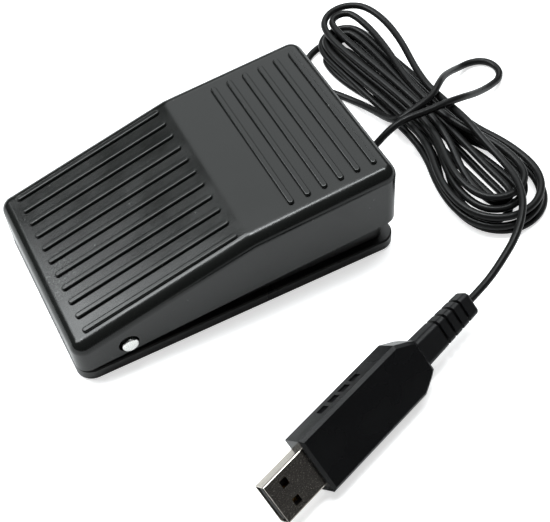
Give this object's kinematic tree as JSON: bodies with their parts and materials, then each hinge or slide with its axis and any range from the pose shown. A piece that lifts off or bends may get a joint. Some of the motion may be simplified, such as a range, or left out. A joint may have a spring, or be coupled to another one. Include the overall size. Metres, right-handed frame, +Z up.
{
  "type": "foot pedal switch",
  "caption": "Wedge-shaped foot pedal switch with a ribbed hinged tread on a low base, and a thin cord wound in a hank that ends in a USB plug.",
  "frame": {"origin": "on the floor, under the middle of the base", "axes": "+X across the pedal along its hinge, +Y from the low hinge end to the high cord end, +Z up"},
  "size_m": [0.1586, 0.1667, 0.0348],
  "materials": {
    "black_plastic": "black moulded plastic, fine satin gloss",
    "black_plastic_base": "black moulded plastic",
    "rubber": "soft black rubber",
    "steel": "bright zinc-plated steel",
    "spring_steel": "drawn spring wire",
    "plated_steel": "nickel-plated sheet steel",
    "switch_case": "black phenolic moulding",
    "plunger": "red moulded plunger",
    "brass": "bright stamped brass",
    "gold": "gold-plated strips",
    "cord": "black flexible jacket, slight gloss",
    "lead_red": "red insulation",
    "lead_white": "white insulation",
    "tongue": "white insulator",
    "plug_plastic": "black moulded plastic, satin",
    "board": "green solder mask",
    "chip": "black epoxy package",
    "ceramic": "tan ceramic",
    "copper": "insulated core with tinned copper"
  },
  "bodies": {
    "base": {"base_tray": "black_plastic_base", "rubber_feet": "rubber", "hinge_pin": "steel", "return_spring": "spring_steel", "switch_case": "switch_case", "switch_cover": "switch_case", "common_terminal": "brass", "open_terminal": "brass", "closed_terminal": "brass", "snap_blade": "brass", "lever_pin": "steel", "switch_screws": "steel", "cord_grommet": "cord", "cord_clamp": "black_plastic_base", "clamp_screws": "steel", "cord_tail": "cord", "lead_open": "lead_red", "lead_common": "lead_white", "cord_feed": "cord", "cord_hank": "cord", "cord_lead": "cord", "usb_shell": "plated_steel", "usb_tongue": "tongue", "usb_contacts": "gold", "plug_housing_upper": "plug_plastic", "plug_housing_lower": "plug_plastic", "plug_boot": "plug_plastic", "plug_board": "board", "plug_controller": "chip", "plug_crystal": "plated_steel", "plug_capacitors": "ceramic", "plug_wires": "copper"},
    "pedal": {"pedal_cover": "black_plastic"},
    "lever": {"switch_lever": "steel"},
    "plunger": {"switch_plunger": "plunger"}
  },
  "joints": [
    {"name": "pedal_hinge", "type": "hinge", "parent": "base", "child": "pedal", "pos_m": [0, -0.0346, 0.0103], "axis": [1, 0, 0], "range_deg": [-4.24, 0], "stiffness_Nm_per_rad": 3.5, "springref_deg": 4.58, "deforming": ["return_spring"]},
    {"name": "lever_hinge", "type": "hinge", "parent": "base", "child": "lever", "pos_m": [0, -0.0007, 0.0193], "axis": [1, 0, 0], "range_deg": [-14, 0]},
    {"name": "plunger_slide", "type": "slide", "parent": "base", "child": "plunger", "axis": [0, 0, 1], "range_m": [-0.0012, 0], "deforming": ["snap_blade"]}
  ],
  "couplings": [
    {"joint": "lever_hinge", "follows": "pedal_hinge", "ratio": 3.3},
    {"joint": "plunger_slide", "follows": "pedal_hinge", "m_per_rad": 0.01505}
  ]
}
